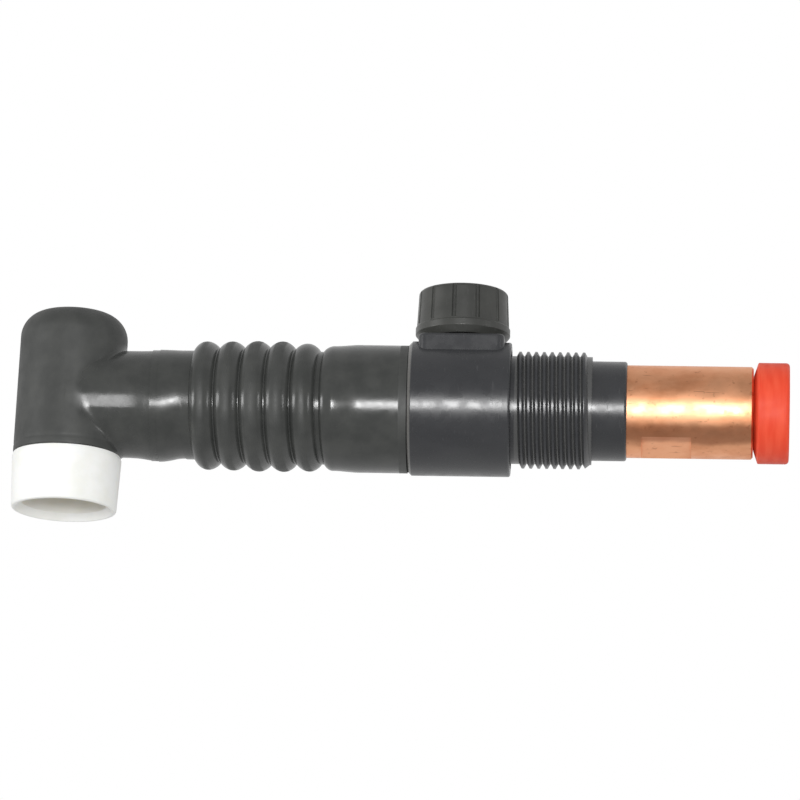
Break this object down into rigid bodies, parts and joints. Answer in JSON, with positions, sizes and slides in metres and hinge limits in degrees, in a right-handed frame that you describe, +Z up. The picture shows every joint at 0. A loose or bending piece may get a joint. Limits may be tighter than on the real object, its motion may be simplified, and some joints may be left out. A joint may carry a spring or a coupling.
{
  "type": "tig torch",
  "caption": "Air-cooled TIG welding torch body with a flexible ribbed neck, round head, gas valve knob, handle thread and copper cable connector.",
  "frame": {"origin": "centre of the shoulder on the valve housing that the handle butts against, on the torch axis", "axes": "+X along the torch axis towards the cable connector, +Z up through the valve knob and towards the back cap side of the head"},
  "size_m": [0.1466, 0.0254, 0.0436],
  "materials": {
    "head_brass": "machined brass, slightly dulled",
    "ferrule_brass": "crimped brass",
    "boot_silicone": "moulded silicone rubber, satin",
    "gasket_ptfe": "white PTFE, waxy",
    "conductor_copper": null,
    "housing_phenolic": "moulded phenolic, satin",
    "valve_brass": "machined brass",
    "stem_steel": "turned stainless steel",
    "oring_rubber": "nitrile rubber",
    "knob_phenolic": "moulded plastic, satin",
    "connector_copper": null,
    "plug_ldpe": "soft polyethylene, red-orange"
  },
  "bodies": {
    "rear_body": {"valve_housing": "housing_phenolic", "valve_body": "valve_brass", "gland_nut": "valve_brass", "rear_tube": "valve_brass", "rear_connector": "connector_copper", "rear_ferrule": "ferrule_brass", "rear_cuff": "boot_silicone"},
    "neck_link_1": {"neck_conductor_1": "conductor_copper"},
    "ring_link_1": {"neck_ring_1": "boot_silicone"},
    "neck_link_2": {"neck_conductor_2": "conductor_copper"},
    "ring_link_2": {"neck_ring_2": "boot_silicone"},
    "neck_link_3": {"neck_conductor_3": "conductor_copper"},
    "ring_link_3": {"neck_ring_3": "boot_silicone"},
    "neck_link_4": {"neck_conductor_4": "conductor_copper"},
    "ring_link_4": {"neck_ring_4": "boot_silicone"},
    "neck_link_5": {"neck_conductor_5": "conductor_copper"},
    "ring_link_5": {"neck_ring_5": "boot_silicone"},
    "neck_link_6": {"neck_conductor_6": "conductor_copper"},
    "head": {"head_barrel": "head_brass", "head_boot": "boot_silicone", "front_ferrule": "ferrule_brass"},
    "gasket": {"cup_gasket": "gasket_ptfe"},
    "seal": {"stem_oring": "oring_rubber"},
    "knob": {"valve_stem": "stem_steel", "valve_knob": "knob_phenolic"},
    "plug": {"transit_plug": "plug_ldpe"}
  },
  "joints": [
    {"name": "neck_bend_1", "type": "hinge", "parent": "rear_body", "child": "neck_link_1", "pos_m": [-0.03583, 0, 0], "axis": [0, 1, 0], "range_deg": [-7, 7]},
    {"name": "neck_swing_1", "type": "hinge", "parent": "neck_link_1", "child": "ring_link_1", "pos_m": [-0.03583, 0, 0], "axis": [0, 0, 1], "range_deg": [-7, 7]},
    {"name": "neck_bend_2", "type": "hinge", "parent": "ring_link_1", "child": "neck_link_2", "pos_m": [-0.04061, 0, 0], "axis": [0, 1, 0], "range_deg": [-7, 7]},
    {"name": "neck_swing_2", "type": "hinge", "parent": "neck_link_2", "child": "ring_link_2", "pos_m": [-0.04061, 0, 0], "axis": [0, 0, 1], "range_deg": [-7, 7]},
    {"name": "neck_bend_3", "type": "hinge", "parent": "ring_link_2", "child": "neck_link_3", "pos_m": [-0.04537, 0, 0], "axis": [0, 1, 0], "range_deg": [-7, 7]},
    {"name": "neck_swing_3", "type": "hinge", "parent": "neck_link_3", "child": "ring_link_3", "pos_m": [-0.04537, 0, 0], "axis": [0, 0, 1], "range_deg": [-7, 7]},
    {"name": "neck_bend_4", "type": "hinge", "parent": "ring_link_3", "child": "neck_link_4", "pos_m": [-0.05015, 0, 0], "axis": [0, 1, 0], "range_deg": [-7, 7]},
    {"name": "neck_swing_4", "type": "hinge", "parent": "neck_link_4", "child": "ring_link_4", "pos_m": [-0.05015, 0, 0], "axis": [0, 0, 1], "range_deg": [-7, 7]},
    {"name": "neck_bend_5", "type": "hinge", "parent": "ring_link_4", "child": "neck_link_5", "pos_m": [-0.05491, 0, 0], "axis": [0, 1, 0], "range_deg": [-7, 7]},
    {"name": "neck_swing_5", "type": "hinge", "parent": "neck_link_5", "child": "ring_link_5", "pos_m": [-0.05491, 0, 0], "axis": [0, 0, 1], "range_deg": [-7, 7]},
    {"name": "neck_bend_6", "type": "hinge", "parent": "ring_link_5", "child": "neck_link_6", "pos_m": [-0.05969, 0, 0], "axis": [0, 1, 0], "range_deg": [-7, 7]},
    {"name": "neck_swing_6", "type": "hinge", "parent": "neck_link_6", "child": "head", "pos_m": [-0.05969, 0, 0], "axis": [0, 0, 1], "range_deg": [-7, 7]},
    {"name": "valve_rise", "type": "slide", "parent": "rear_body", "child": "seal", "axis": [0, 0, 1], "range_m": [0, 0.0016]},
    {"name": "valve_turn", "type": "hinge", "parent": "seal", "child": "knob", "pos_m": [-0.0094, 0, 0], "axis": [0, 0, 1], "range_deg": [0, 540]},
    {"name": "gasket_pull", "type": "slide", "parent": "head", "child": "gasket", "axis": [-0.0272, 0, -0.9996], "range_m": [0, 0.015]},
    {"name": "plug_pull", "type": "slide", "parent": "rear_body", "child": "plug", "axis": [1, 0, 0], "range_m": [0, 0.03]}
  ],
  "couplings": [
    {"joint": "neck_bend_2", "follows": "neck_bend_1", "ratio": 1},
    {"joint": "neck_swing_2", "follows": "neck_swing_1", "ratio": 1},
    {"joint": "neck_bend_3", "follows": "neck_bend_1", "ratio": 1},
    {"joint": "neck_swing_3", "follows": "neck_swing_1", "ratio": 1},
    {"joint": "neck_bend_4", "follows": "neck_bend_1", "ratio": 1},
    {"joint": "neck_swing_4", "follows": "neck_swing_1", "ratio": 1},
    {"joint": "neck_bend_5", "follows": "neck_bend_1", "ratio": 1},
    {"joint": "neck_swing_5", "follows": "neck_swing_1", "ratio": 1},
    {"joint": "neck_bend_6", "follows": "neck_bend_1", "ratio": 1},
    {"joint": "neck_swing_6", "follows": "neck_swing_1", "ratio": 1},
    {"joint": "valve_rise", "follows": "valve_turn", "m_per_rad": 0.00015915}
  ]
}
